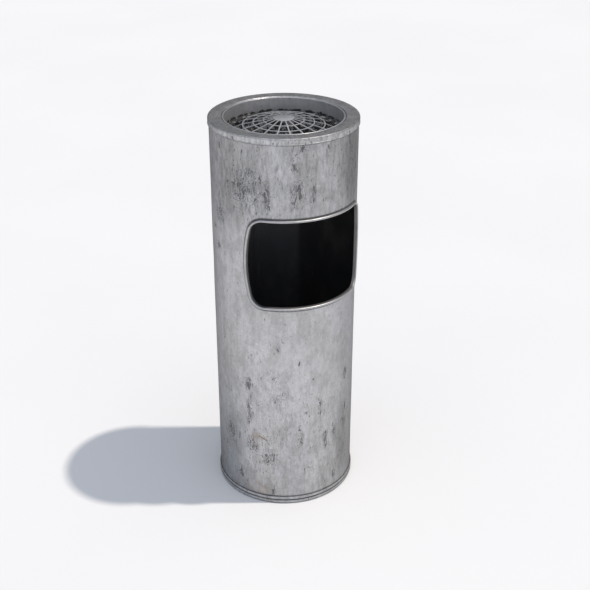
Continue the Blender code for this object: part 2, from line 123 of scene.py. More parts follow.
class Shader:
    """A node material, written as expressions: sockets and numbers can be mixed freely."""

    def __init__(self, name):
        self.material = bpy.data.materials.new(name)
        self.material.use_nodes = True
        self.tree = self.material.node_tree
        self.surface = self.tree.nodes["Principled BSDF"]
        coordinates = self.tree.nodes.new("ShaderNodeTexCoord")
        self.place = coordinates.outputs["Object"]

    def feed(self, socket, value):
        if isinstance(value, bpy.types.NodeSocket):
            self.tree.links.new(value, socket)
        elif isinstance(value, (tuple, list)) and len(value) == 3 and socket.type == "RGBA":
            socket.default_value = (*value, 1.0)
        else:
            socket.default_value = value

    def maths(self, operation, first, second=0.0, clamp=False):
        node = self.tree.nodes.new("ShaderNodeMath")
        node.operation = operation
        node.use_clamp = clamp
        self.feed(node.inputs[0], first)
        self.feed(node.inputs[1], second)
        return node.outputs[0]

    def times(self, first, second, clamp=False):
        return self.maths("MULTIPLY", first, second, clamp)

    def plus(self, first, second, clamp=False):
        return self.maths("ADD", first, second, clamp)

    def vector(self, operation, first, second=(0.0, 0.0, 0.0)):
        node = self.tree.nodes.new("ShaderNodeVectorMath")
        node.operation = operation
        self.feed(node.inputs[0], first)
        self.feed(node.inputs[1], second)
        return node.outputs["Value"] if operation in ("LENGTH", "DOT_PRODUCT") else node.outputs["Vector"]

    def split(self, vector):
        node = self.tree.nodes.new("ShaderNodeSeparateXYZ")
        self.feed(node.inputs[0], vector)
        return node.outputs

    def stretched(self, across, up):
        """Object coordinates scaled apart, so that a pattern runs along the height or round it."""
        return self.vector("MULTIPLY", self.place, (across, across, up))

    def noise(self, vector, scale=1.0, detail=3.0, roughness=0.5):
        node = self.tree.nodes.new("ShaderNodeTexNoise")
        self.feed(node.inputs["Vector"], vector)
        node.inputs["Scale"].default_value = scale
        node.inputs["Detail"].default_value = detail
        node.inputs["Roughness"].default_value = roughness
        return node.outputs

    def cells(self, vector, scale=1.0):
        node = self.tree.nodes.new("ShaderNodeTexVoronoi")
        self.feed(node.inputs["Vector"], vector)
        node.inputs["Scale"].default_value = scale
        return node.outputs

    def span(self, value, low, high, to_low=0.0, to_high=1.0, smooth=True):
        """Remap low..high to to_low..to_high, clamped."""
        node = self.tree.nodes.new("ShaderNodeMapRange")
        node.interpolation_type = "SMOOTHSTEP" if smooth else "LINEAR"
        self.feed(node.inputs["Value"], value)
        self.feed(node.inputs["From Min"], low)
        self.feed(node.inputs["From Max"], high)
        self.feed(node.inputs["To Min"], to_low)
        self.feed(node.inputs["To Max"], to_high)
        return node.outputs["Result"]

    def mix(self, share, first, second, blend="MIX"):
        node = self.tree.nodes.new("ShaderNodeMix")
        node.data_type = "RGBA"
        node.blend_type = blend
        self.feed(node.inputs["Factor"], share)
        self.feed(node.inputs[6], first)
        self.feed(node.inputs[7], second)
        return node.outputs[2]

    def grey(self, value):
        """A colour with one value in all three channels."""
        node = self.tree.nodes.new("ShaderNodeCombineColor")
        for channel in range(3):
            self.feed(node.inputs[channel], value)
        return node.outputs[0]

    def finish(self, colour, roughness, height=None, depth=0.0005, **constants):
        """Wire the main inputs up; constants go straight onto the shader's own sockets."""
        self.feed(self.surface.inputs["Base Color"], colour)
        self.feed(self.surface.inputs["Roughness"], roughness)
        for name, value in constants.items():
            self.surface.inputs[name.replace("_", " ")].default_value = value
        if height is not None:
            bump = self.tree.nodes.new("ShaderNodeBump")
            bump.inputs["Distance"].default_value = depth
            bump.inputs["Strength"].default_value = 1.0
            self.feed(bump.inputs["Height"], height)
            self.feed(self.surface.inputs["Normal"], bump.outputs["Normal"])
        return self.material


# worn places on the tube: degrees from the opening's middle, height, half width, half height, strength
WORN_PLACES = (
    (-16.0, 0.606, 0.014, 0.030, 0.70),
    (-18.0, 0.650, 0.007, 0.010, 0.70),
    (-12.0, 0.682, 0.006, 0.006, 0.80),
    (-54.0, 0.606, 0.034, 0.044, 0.60),
    (-53.0, 0.639, 0.009, 0.010, 1.00),
    (-38.0, 0.600, 0.006, 0.034, 0.90),
    (-2.0, 0.604, 0.008, 0.024, 0.60),
    (9.0, 0.674, 0.007, 0.012, 0.80),
    (34.0, 0.672, 0.010, 0.010, 0.80),
    (36.0, 0.646, 0.010, 0.018, 0.90),
    (-95.0, 0.523, 0.009, 0.008, 1.00),
    (-88.0, 0.492, 0.008, 0.010, 1.00),
    (-85.0, 0.550, 0.022, 0.022, 0.70),
    (-31.0, 0.325, 0.006, 0.008, 0.60),
    (-57.0, 0.246, 0.009, 0.018, 0.95),
    (-55.0, 0.218, 0.006, 0.014, 0.70),
    (-33.0, 0.266, 0.007, 0.010, 0.60),
    (-30.0, 0.225, 0.022, 0.030, 0.35),
    (34.0, 0.244, 0.010, 0.016, 0.90),
    (-76.0, 0.130, 0.014, 0.024, 0.75),
    (-55.0, 0.120, 0.010, 0.022, 0.85),
    (-38.0, 0.099, 0.016, 0.026, 0.50),
    (-13.0, 0.140, 0.008, 0.022, 0.70),
    (10.0, 0.124, 0.007, 0.026, 0.90),
    (20.0, 0.134, 0.006, 0.018, 0.80),
    (33.0, 0.146, 0.012, 0.014, 0.95),
    (20.0, 0.040, 0.006, 0.012, 0.85),
    (-7.0, 0.072, 0.010, 0.010, 0.55),
    (-66.0, 0.050, 0.010, 0.018, 0.75),
    (-36.0, 0.026, 0.006, 0.012, 0.60),
    (-56.0, 0.190, 0.008, 0.030, 0.80),
    (4.0, 0.200, 0.006, 0.022, 0.70),
    (34.0, 0.170, 0.010, 0.022, 0.80),
    (120.0, 0.420, 0.030, 0.050, 0.80),
    (150.0, 0.610, 0.026, 0.036, 0.80),
    (-150.0, 0.540, 0.030, 0.040, 0.80),
    (-125.0, 0.230, 0.024, 0.034, 0.80),
    (165.0, 0.120, 0.030, 0.036, 0.90),
    (85.0, 0.560, 0.018, 0.030, 0.80),
)
# large soft tones: the same five figures, with the strength above zero for lighter, below for darker
TONE_PLACES = (
    (-32.0, 0.625, 0.016, 0.075, 0.10),
    (-72.0, 0.600, 0.040, 0.100, -0.16),
    (-48.0, 0.640, 0.012, 0.060, -0.08),
    (12.0, 0.640, 0.010, 0.050, -0.10),
    (34.0, 0.640, 0.034, 0.090, -0.34),
    (-74.0, 0.120, 0.034, 0.060, -0.20),
    (-40.0, 0.330, 0.040, 0.110, 0.05),
    (-20.0, 0.110, 0.040, 0.080, -0.11),
    (30.0, 0.120, 0.024, 0.090, -0.27),
    (26.0, 0.340, 0.030, 0.090, -0.10),
    (-50.0, 0.030, 0.060, 0.040, -0.12),
)
RUSTY_PLACES = (
    (-50.0, 0.134, 0.014, 0.018, 0.9),
    (-45.0, 0.140, 0.010, 0.006, 1.0),
    (-52.0, 0.028, 0.030, 0.020, 0.6),
    (33.0, 0.140, 0.012, 0.014, 0.4),
    (150.0, 0.060, 0.030, 0.030, 0.8),
)
# single deep flakes: degrees, height, half width, half height, lean in degrees
FLAKES = (
    (-15.0, 0.618, 0.0013, 0.0070, 22.0),
    (-17.0, 0.599, 0.0012, 0.0060, 18.0),
    (-12.0, 0.684, 0.0022, 0.0030, 40.0),
    (-18.0, 0.654, 0.0016, 0.0030, 0.0),
    (9.0, 0.679, 0.0014, 0.0040, -15.0),
    (33.0, 0.675, 0.0022, 0.0036, 0.0),
    (-3.0, 0.616, 0.0014, 0.0034, 0.0),
    (-3.0, 0.593, 0.0013, 0.0040, 8.0),
    (-40.0, 0.606, 0.0016, 0.0050, 0.0),
    (-58.0, 0.672, 0.0014, 0.0040, 10.0),
    (-82.0, 0.672, 0.0018, 0.0060, 0.0),
    (-94.0, 0.523, 0.0024, 0.0028, 0.0),
    (-88.0, 0.492, 0.0014, 0.0060, 0.0),
    (-14.0, 0.296, 0.0016, 0.0046, 8.0),
    (-2.0, 0.260, 0.0013, 0.0016, 0.0),
    (-57.0, 0.243, 0.0022, 0.0028, 0.0),
    (-78.0, 0.139, 0.0012, 0.0060, 0.0),
    (-67.0, 0.130, 0.0011, 0.0090, 4.0),
    (-12.0, 0.132, 0.0012, 0.0044, -35.0),
    (10.0, 0.141, 0.0018, 0.0042, 10.0),
    (20.0, 0.131, 0.0010, 0.0070, 0.0),
    (18.0, 0.150, 0.0012, 0.0050, 12.0),
    (20.0, 0.037, 0.0016, 0.0040, 10.0),
    (-36.0, 0.025, 0.0014, 0.0036, 0.0),
    (35.0, 0.248, 0.0020, 0.0040, 0.0),
    (-44.0, 0.139, 0.0008, 0.0100, -62.0),
)
# thin outlines of lifted paint: degrees, height, half width, half height
BLISTERS = (
    (-26.0, 0.345, 0.0042, 0.0068),
    (7.0, 0.216, 0.0024, 0.0080),
    (-58.0, 0.250, 0.0050, 0.0075),
    (-13.0, 0.163, 0.0030, 0.0050),
    (160.0, 0.330, 0.0060, 0.0090),
)


def oval(shader, place):
    """A soft-edged oval patch on the tube's surface, 0 to its strength."""
    degrees, height, wide, tall, strength = place
    centre = around(math.radians(degrees), TUBE_RADIUS, height)
    offset = shader.vector("SUBTRACT", shader.place, tuple(centre))
    scaled = shader.vector("MULTIPLY", offset, (1.0 / wide, 1.0 / wide, 1.0 / tall))
    return shader.span(shader.vector("LENGTH", scaled), 1.3, 0.3, 0.0, strength)


def mark_distance(shader, degrees, height, wide, tall, lean=0.0):
    """How far out a point lies from a leaning oval mark, counted in the mark's own half sizes."""
    turn = math.radians(degrees)
    centre = around(turn, TUBE_RADIUS, height)
    along = Vector((math.cos(turn), math.sin(turn), 0.0))
    up = Vector((0.0, 0.0, 1.0))
    tilt = math.radians(lean)
    across_mark = along * math.cos(tilt) - up * math.sin(tilt)
    along_mark = along * math.sin(tilt) + up * math.cos(tilt)
    offset = shader.vector("SUBTRACT", shader.place, tuple(centre))
    squares = 0.0
    for axis in (across_mark / wide, along_mark / tall, around(turn, 1.0 / MARK_REACH, 0.0)):
        share = shader.vector("DOT_PRODUCT", offset, tuple(axis))
        squares = shader.plus(squares, shader.times(share, share))
    return shader.maths("SQRT", squares)


def single_marks(shader, ragged):
    """The listed flakes, and the listed outlines, both with uneven edges."""
    flakes = 0.0
    for degrees, height, wide, tall, lean in FLAKES:
        away = mark_distance(shader, degrees, height, wide, tall, lean)
        away = shader.plus(away, shader.span(ragged, 0.30, 0.70, -0.5, 0.6, smooth=False))
        flakes = shader.maths("MAXIMUM", flakes, shader.span(away, 1.15, 0.80))
    rings = 0.0
    for degrees, height, wide, tall in BLISTERS:
        away = mark_distance(shader, degrees, height, wide, tall)
        away = shader.plus(away, shader.span(ragged, 0.30, 0.70, -0.60, 0.60, smooth=False))
        from_line = shader.maths("ABSOLUTE", shader.maths("SUBTRACT", away, 1.0))
        rings = shader.maths("MAXIMUM", rings, shader.span(from_line, 0.22, 0.08))
    broken = shader.noise(shader.stretched(110.0, 80.0), detail=2.0)["Fac"]
    return flakes, shader.times(rings, shader.span(broken, 0.44, 0.54))


def worn_mask(shader, places):
    total = 0.0
    for place in places:
        total = shader.maths("MAXIMUM", total, oval(shader, place))
    return total


def tone_sum(shader, places):
    total = 1.0
    for place in places:
        total = shader.plus(total, oval(shader, place))
    return total


def chips(shader, mask, across, up, threshold, reach, seed):
    """Ragged chips where a noise passes a threshold, which a high mask brings down."""
    moved = shader.vector("ADD", shader.stretched(across, up), (seed, seed * 1.7, seed * 2.3))
    field = shader.noise(moved, detail=3.0, roughness=0.62)["Fac"]
    level = shader.maths("SUBTRACT", threshold, shader.times(mask, reach))
    above = shader.maths("SUBTRACT", field, level)
    return shader.span(above, 0.0, 0.022), shader.span(above, -0.045, 0.0)


def outlines(shader, across, up, width, seed):
    """Thin curved lines where a noise crosses its middle value, broken into short lengths."""
    moved = shader.vector("ADD", shader.stretched(across, up), (seed, seed * 1.3, seed * 2.9))
    field = shader.noise(moved, detail=2.0, roughness=0.55)["Fac"]
    away = shader.maths("ABSOLUTE", shader.maths("SUBTRACT", field, 0.5))
    line = shader.span(away, width, 0.0)
    shifted = shader.vector("ADD", shader.stretched(across, up), (seed * 5.0, seed, seed))
    broken = shader.noise(shifted, detail=2.0)
    return shader.times(line, shader.span(broken["Fac"], 0.53, 0.62))


def weathered_steel(name, on_tube):
    """Dull grey zinc-like metal: mottled, streaked down the height, with dark chips and a little rust."""
    shader = Shader(name)
    height = shader.split(shader.place)[2]

    cloud = shader.noise(shader.stretched(9.0, 4.5), detail=3.0)["Fac"]
    mottle = shader.noise(shader.stretched(44.0, 27.0), detail=6.0, roughness=0.62)["Fac"]
    fleck = shader.noise(shader.stretched(150.0, 95.0), detail=4.0, roughness=0.68)["Fac"]
    rake = shader.noise(shader.stretched(230.0, 52.0), detail=4.0, roughness=0.68)["Fac"]
    streak = shader.noise(shader.stretched(150.0, 5.0), detail=3.0, roughness=0.6)["Fac"]
    grain = shader.noise(shader.stretched(520.0, 300.0), detail=2.0)["Fac"]

    if on_tube:
        worn = worn_mask(shader, WORN_PLACES)
        rusty = worn_mask(shader, RUSTY_PLACES)
        upper = shader.span(height, 0.52, 0.60)
        lower = shader.span(height, 0.30, 0.12)
        flakes, rings = single_marks(shader, fleck)
    else:
        worn = 0.25
        rusty = 0.0
        upper = 0.6
        lower = 0.0
        flakes = 0.0
        rings = 0.0
    general = shader.plus(shader.times(upper, 0.26), shader.times(lower, 0.30))
    general = shader.plus(general, 0.06)
    drift = shader.noise(shader.stretched(17.0, 9.0), detail=3.0)["Fac"]
    mask = shader.plus(shader.times(general, shader.span(drift, 0.40, 0.66)), worn, clamp=True)

    colour = shader.mix(shader.span(cloud, 0.38, 0.64), (0.605, 0.605, 0.622), (0.550, 0.551, 0.552))
    colour = shader.mix(shader.span(mottle, 0.50, 0.55, 0.0, 0.60), colour, DULL_PATCH)
    rough_zone = shader.plus(shader.times(upper, 0.58), shader.times(lower, 0.38))
    rough_zone = shader.plus(shader.plus(rough_zone, worn), 0.10)
    tone = shader.span(streak, 0.28, 0.72, 0.93, 1.05, smooth=False)
    darker = shader.times(shader.span(rake, 0.50, 0.62), shader.times(rough_zone, -0.30))
    lighter = shader.times(shader.span(rake, 0.47, 0.38), shader.times(rough_zone, 0.11))
    tone = shader.plus(tone, shader.plus(darker, lighter))
    tone = shader.times(tone, shader.span(fleck, 0.38, 0.62, 1.05, 0.94))
    tone = shader.times(tone, shader.span(grain, 0.3, 0.7, 0.93, 1.07, smooth=False))
    if on_tube:
        tone = shader.times(tone, tone_sum(shader, TONE_PLACES))
        tone = shader.times(tone, shader.span(upper, 0.0, 1.0, 1.0, 0.84))
        tone = shader.times(tone, shader.span(height, 0.015, 0.13, 0.84, 0.955))
    else:
        # painted shade: the top 4 mm of the fittings, the top ring's upper face, painted darker
        tone = shader.times(tone, shader.span(height, TOTAL_HEIGHT - 0.004, TOTAL_HEIGHT, 1.0, 0.74))
    colour = shader.mix(1.0, colour, shader.grey(tone), blend="MULTIPLY")

    large, large_rim = chips(shader, mask, 200.0, 90.0, 0.70, 0.14, 3.1)
    slivers, sliver_rim = chips(shader, mask, 380.0, 85.0, 0.70, 0.15, 7.7)
    specks, speck_rim = chips(shader, mask, 520.0, 320.0, 0.70, 0.15, 12.3)
    long_chips = shader.maths("MAXIMUM", large, slivers)
    dark = shader.maths("MAXIMUM", long_chips, shader.maths("MAXIMUM", specks, flakes))
    rim = shader.maths("MAXIMUM", shader.maths("MAXIMUM", large_rim, sliver_rim), speck_rim)
    fine = outlines(shader, 75.0, 38.0, 0.012, 4.4)
    wide = outlines(shader, 34.0, 17.0, 0.007, 9.2)
    lines = shader.times(shader.maths("MAXIMUM", fine, wide), shader.plus(0.35, mask), clamp=True)
    lines = shader.maths("MAXIMUM", lines, rings)

    smudge = shader.times(mask, shader.span(mottle, 0.44, 0.58))
    colour = shader.mix(shader.times(smudge, 0.28), colour, SMUDGE)
    patchy = shader.noise(shader.stretched(60.0, 40.0), detail=5.0)["Fac"]
    rust = shader.times(rusty, shader.span(patchy, 0.36, 0.62))
    colour = shader.mix(shader.times(rust, 0.60), colour, RUST)
    # painted highlight: the chips' raised rims painted lighter, where they catch light
    colour = shader.mix(shader.times(rim, 0.30), colour, CHIP_RIM_HIGHLIGHT)
    colour = shader.mix(shader.times(lines, 0.60), colour, LIFTED_EDGE)
    colour = shader.mix(shader.times(dark, 0.80), colour, DEEP_CHIP)
    grime_and_shade = seam_grime_and_shade(shader, height, on_tube)
    colour = shader.mix(grime_and_shade, colour, SEAM_DIRT_AND_SHADE)

    relief = shader.times(shader.maths("MAXIMUM", dark, shader.times(lines, 0.6)), -1.0)
    relief = shader.plus(relief, shader.times(rim, 0.35))
    relief = shader.plus(relief, shader.times(fleck, 0.60))
    relief = shader.plus(relief, shader.times(rake, shader.times(rough_zone, 0.5)))
    relief = shader.plus(relief, shader.times(streak, 0.25))
    relief = shader.plus(relief, shader.times(grain, 0.12))
    dull = shader.maths("MAXIMUM", dark, grime_and_shade)
    roughness = shader.plus(shader.span(mottle, 0.40, 0.62, 0.42, 0.52), shader.times(dull, 0.3))
    shader.feed(shader.surface.inputs["Metallic"], shader.span(dull, 0.0, 1.0, 0.86, 0.15))
    # painted shade: the dark edge tint darkens the sides seen at a glancing angle
    shader.surface.inputs["Specular Tint"].default_value = EDGE_SHADE_TINT
    return shader.finish(colour, roughness, relief, 0.00045, Specular_IOR_Level=0.35)


def seam_grime_and_shade(shader, height, on_tube):
    """Dark lines along the joins: a painted shadow under the top ring, painted shade in the groove round
    the trim and in the foot's grooves, a dark line just above the foot, and the foot a little darker low
    down.
    """
    ragged = shader.noise(shader.stretched(240.0, 240.0), detail=3.0)["Fac"]
    if on_tube:
        # painted shadow: a dark band on the tube just under the top ring
        edge = shader.maths("SUBTRACT", ring_low.z + 0.0004, height)
        shadow_under_ring = shader.span(edge, 0.0026, 0.0004, 0.0, 0.85)
        over_foot = shader.span(shader.maths("SUBTRACT", height, foot_high.z), 0.0030, 0.0002, 0.0, 0.45)
        # painted shade in the groove round the trim, read from the mesh's attribute
        attribute = shader.tree.nodes.new("ShaderNodeAttribute")
        attribute.attribute_name = "groove_shade"
        round_trim = shader.times(attribute.outputs["Fac"], 1.0, clamp=True)
        joins = shader.maths("MAXIMUM", shader.maths("MAXIMUM", shadow_under_ring, over_foot), round_trim)
        return shader.times(joins, shader.span(ragged, 0.30, 0.55, 0.75, 0.95))
    flat = shader.vector("MULTIPLY", shader.place, (1.0, 1.0, 0.0))
    radius = shader.vector("LENGTH", flat)
    # painted shade in the foot's grooves
    groove = shader.span(radius, foot_high.x - 0.0003, foot_high.x - 0.0012, 0.0, 0.95)
    low = shader.span(height, 0.030, 0.020)
    film = shader.times(low, 0.20)
    grime_and_shade = shader.maths("MAXIMUM", shader.times(groove, low), film)
    return shader.times(grime_and_shade, shader.span(ragged, 0.3, 0.6, 0.8, 1.0))


def black_paint(name, tone, roughness):
    """Semi-matt black paint, with dust settling and scuffs worn lighter."""
    shader = Shader(name)
    dust = shader.noise(shader.stretched(20.0, 12.0), detail=5.0, roughness=0.65)["Fac"]
    scuff = shader.noise(shader.stretched(160.0, 14.0), detail=4.0, roughness=0.7)["Fac"]
    clean = (tone, tone, tone * 1.05)
    dusty = (tone * 2.2, tone * 2.1, tone * 2.0)
    scuffed = (tone * 6.0, tone * 6.0, tone * 6.0)
    colour = shader.mix(shader.span(dust, 0.40, 0.75), clean, dusty)
    colour = shader.mix(shader.span(scuff, 0.66, 0.74, 0.0, 0.35), colour, scuffed)
    rough = shader.span(dust, 0.3, 0.7, roughness, roughness + 0.15)
    peel = shader.noise(shader.stretched(300.0, 300.0), detail=2.0)["Fac"]
    return shader, colour, rough, peel


def bucket_paint(name):
    shader, colour, rough, peel = black_paint(name, 0.022, 0.42)
    return shader.finish(colour, rough, peel, 0.00008, Metallic=0.0)


def inside_paint(name):
    """The tube's black inner skin, with painted light: lighter on one side of its back, and more so higher
    up.
    """
    shader, colour, rough, peel = black_paint(name, 0.030, 0.40)
    # painted light: one side of the back, and more so higher up, painted lighter
    sideways = tuple(around(INSIDE_LIGHT_EDGE + math.radians(90.0), 1.0, 0.0))
    lit_side = shader.span(shader.vector("DOT_PRODUCT", shader.place, sideways), -0.006, 0.006)
    high = shader.span(shader.split(shader.place)[2], 0.30, 0.48, 0.25, 1.0)
    film = shader.times(shader.times(lit_side, high), 0.11)
    colour = shader.mix(film, colour, PAINTED_INSIDE_LIGHT)
    return shader.finish(colour, rough, peel, 0.00008, Metallic=0.0)


def bare_steel(name, tone, roughness, streak_scale):
    """Satin steel with fine rubbing marks and dull patches; returns the shader before it is wired up."""
    shader = Shader(name)
    rub = shader.noise(shader.stretched(streak_scale, streak_scale * 0.2), detail=4.0, roughness=0.6)["Fac"]
    tarnish = shader.noise(shader.stretched(34.0, 22.0), detail=5.0, roughness=0.65)["Fac"]
    light = (tone, tone, tone * 1.01)
    dull = (tone * 0.72, tone * 0.71, tone * 0.71)
    colour = shader.mix(shader.span(tarnish, 0.42, 0.70, 0.0, 0.7), light, dull)
    colour = shader.mix(1.0, colour, shader.grey(shader.span(rub, 0.3, 0.7, 0.90, 1.05)), blend="MULTIPLY")
    rough = shader.span(tarnish, 0.35, 0.7, roughness, roughness + 0.14)
    return shader, colour, rough, rub


def zinc_steel(name):
    shader, colour, rough, rub = bare_steel(name, 0.62, 0.32, 500.0)
    return shader.finish(colour, rough, rub, 0.00010, Metallic=0.9)


def trim_steel(name):
    """The edging's metal: bright along its crown, with painted shade down both flanks, and dirt spots."""
    shader, colour, rough, rub = bare_steel(name, 0.52, 0.30, 500.0)
    radius = shader.vector("LENGTH", shader.vector("MULTIPLY", shader.place, (1.0, 1.0, 0.0)))
    speck = shader.noise(shader.stretched(260.0, 260.0), detail=4.0, roughness=0.7)["Fac"]
    # painted shade: the bead's flanks, down towards the tube, painted darker
    flank_shade = shader.span(radius, TUBE_RADIUS + 0.0036, TUBE_RADIUS + 0.0016, 0.0, 0.78)
    spots = shader.span(speck, 0.62, 0.70, 0.0, 0.6)
    grime_and_shade = shader.maths("MAXIMUM", flank_shade, spots)
    colour = shader.mix(grime_and_shade, colour, TRIM_DIRT_AND_SHADE)
    rough = shader.plus(rough, shader.times(grime_and_shade, 0.3))
    return shader.finish(colour, rough, rub, 0.00010, Metallic=0.92)


def bowl_steel(name, tone, roughness, metallic, clean_radius, soot):
    """Satin steel sooted by ash: a few specks all over, and dirtier low down beyond a radius."""
    shader, colour, rough, rub = bare_steel(name, tone, roughness, 300.0)
    radius = shader.vector("LENGTH", shader.vector("MULTIPLY", shader.place, (1.0, 1.0, 0.0)))
    black = shader.noise(shader.stretched(110.0, 110.0), detail=5.0, roughness=0.7)["Fac"]
    depth = shader.span(shader.split(shader.place)[2], SOOT_TOP, SOOT_BOTTOM)
    outer = shader.times(shader.span(radius, clean_radius - 0.006, clean_radius + 0.008), depth)
    level = shader.maths("SUBTRACT", 0.66, shader.times(outer, 0.26))
    stain = shader.span(shader.maths("SUBTRACT", black, level), 0.0, 0.07, 0.0, soot)
    colour = shader.mix(stain, colour, SOOT)
    rough = shader.plus(rough, shader.times(stain, 0.45))
    return shader.finish(colour, rough, rub, 0.00004, Metallic=metallic)


def rubber(name):
    shader = Shader(name)
    dust = shader.noise(shader.stretched(90.0, 90.0), detail=5.0)["Fac"]
    colour = shader.mix(shader.span(dust, 0.45, 0.75), (0.022, 0.022, 0.022), (0.075, 0.072, 0.068))
    grain = shader.noise(shader.stretched(900.0, 900.0), detail=1.0)["Fac"]
    return shader.finish(colour, shader.span(dust, 0.3, 0.7, 0.75, 0.92), grain, 0.0001, Metallic=0.0)


def moulded_plastic(name):
    shader = Shader(name)
    grain = shader.cells(shader.stretched(1100.0, 1100.0))["Distance"]
    wear = shader.noise(shader.stretched(70.0, 70.0), detail=4.0)["Fac"]
    colour = shader.mix(shader.span(wear, 0.5, 0.75), (0.028, 0.028, 0.030), (0.060, 0.058, 0.056))
    return shader.finish(colour, shader.span(wear, 0.3, 0.7, 0.42, 0.6), grain, 0.0001, Metallic=0.0)


# ---------------------------------------------------------------- mesh helpers

def add_piece(name, form, materials, sharp_degrees=30.0):
    bmesh.ops.recalc_face_normals(form, faces=form.faces)
    return add_mesh(name, form, materials, sharp_degrees)


def add_mesh(name, form, materials, sharp_degrees=30.0):
    mesh = bpy.data.meshes.new(name)
    form.to_mesh(mesh)
    form.free()
    mesh.shade_smooth()
    mesh.set_sharp_from_angle(angle=math.radians(sharp_degrees))
    for material in materials:
        mesh.materials.append(material)
    piece = bpy.data.objects.new(name, mesh)
    bpy.context.collection.objects.link(piece)
    return piece


def arc(centre, radius, start_degrees, end_degrees, steps, radius_z=None):
    tall = radius if radius_z is None else radius_z
    points = []
    for step in range(steps + 1):
        angle = math.radians(start_degrees + (end_degrees - start_degrees) * step / steps)
        points.append((centre[0] + radius * math.cos(angle), centre[1] + tall * math.sin(angle)))
    return points


def turned(name, profile, materials, segments=256, sharp_degrees=30.0):
    """Spin a profile of (radius, height) points about Z."""
    form = bmesh.new()
    verts = [form.verts.new((radius, 0.0, height)) for radius, height in profile]
    edges = [form.edges.new(pair) for pair in zip(verts, verts[1:])]
    if profile[0][0] > 0.0:
        edges.append(form.edges.new((verts[-1], verts[0])))
    bmesh.ops.spin(form, geom=verts + edges, cent=(0, 0, 0), axis=(0, 0, 1), dvec=(0, 0, 0),
                   angle=math.tau, steps=segments, use_merge=True)
    bmesh.ops.remove_doubles(form, verts=form.verts, dist=1e-6)
    return add_piece(name, form, materials, sharp_degrees)


def swept(form, rings, closed):
    loops = [[form.verts.new(point) for point in ring] for ring in rings]
    pairs = list(zip(loops, loops[1:]))
    if closed:
        pairs.append((loops[-1], loops[0]))
    else:
        form.faces.new(loops[0])
        form.faces.new(loops[-1])
    count = len(loops[0])
    for near, far in pairs:
        for index in range(count):
            following = (index + 1) % count
            form.faces.new((near[index], near[following], far[following], far[index]))


def stand_for(piece, body, slot, *nodes):
    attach(piece, body)
    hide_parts(*nodes)


# ---------------------------------------------------------------- the opening's outline

SIDE_CENTRE = OPENING_HALF_WIDTH - OPENING_SIDE_RADIUS
CORNER_RISE = OPENING_HALF_HEIGHT - OPENING_CORNER_RADIUS
SIDE_REACH = OPENING_SIDE_RADIUS - OPENING_CORNER_RADIUS
CORNER_CENTRE = SIDE_CENTRE + math.sqrt(SIDE_REACH ** 2 - CORNER_RISE ** 2)
MEETING = math.asin(CORNER_RISE / SIDE_REACH)


def outline_loop(corner_steps, side_steps, level_steps):
    """The opening's edge once round, as (along, up, normal) from its middle."""
    spans = (
        (CORNER_CENTRE, -CORNER_RISE, OPENING_CORNER_RADIUS, -math.pi / 2, -MEETING, corner_steps),
        (SIDE_CENTRE, 0.0, OPENING_SIDE_RADIUS, -MEETING, MEETING, side_steps),
        (CORNER_CENTRE, CORNER_RISE, OPENING_CORNER_RADIUS, MEETING, math.pi / 2, corner_steps),
    )
    right = []
    for along, up, radius, start, end, steps in spans:
        for step in range(steps + 1):
            if right and step == 0:
                continue
            angle = start + (end - start) * step / steps
            normal = (math.cos(angle), math.sin(angle))
            right.append((along + radius * normal[0], up + radius * normal[1], normal))
    half = right[-1][0]
    level = [half - 2.0 * half * step / level_steps for step in range(1, level_steps)]
    loop = list(right)
    loop += [(along, right[-1][1], (0.0, 1.0)) for along in level]
    loop += [(-along, up, (-normal[0], normal[1])) for along, up, normal in reversed(right)]
    loop += [(-along, right[0][1], (0.0, -1.0)) for along in level]
    return loop


def outside_opening(along, up):
    """Distance outside the opening's edge; below zero inside it."""
    along = abs(along)
    up = abs(up)
    if math.atan2(up, along - SIDE_CENTRE) <= MEETING:
        return math.hypot(along - SIDE_CENTRE, up) - OPENING_SIDE_RADIUS
    if along > CORNER_CENTRE:
        return math.hypot(along - CORNER_CENTRE, up - CORNER_RISE) - OPENING_CORNER_RADIUS
    return up - OPENING_HALF_HEIGHT


# ---------------------------------------------------------------- tube and trim

SEAM_HALF_WIDTH = 0.006
SEAM_RISE = 0.0003
SEAM_STEP = 0.0004
GROOVE_DEPTH = 0.0009
GROOVE_MIDDLE = BEAD_WIDTH + 0.0006
GROOVE_HALF = 0.0014
DENT_DEPTH = 0.00035
# painted shade in the groove round the trim, kept as a mesh attribute
GROOVE_SHADE_MIDDLE = BEAD_WIDTH + 0.0006
GROOVE_SHADE_HALF = 0.0026


def tube_surface(along, up):
    """The tube's outer radius: a lapped back seam, a groove round the trim and faint dents."""
    radius = TUBE_RADIUS
    if abs(along) > BACK - SEAM_HALF_WIDTH:
        radius += SEAM_RISE
    edge = outside_opening(along, up)
    radius -= GROOVE_DEPTH * max(0.0, 1.0 - abs(edge - GROOVE_MIDDLE) / GROOVE_HALF)
    place = around(along / TUBE_RADIUS, 1.0, up * 6.0) * 2.3
    fade = min(1.0, max(0.0, (edge - 0.008) / 0.03))
    radius -= DENT_DEPTH * fade * max(0.0, noise.noise(place) + 0.1)
    return radius


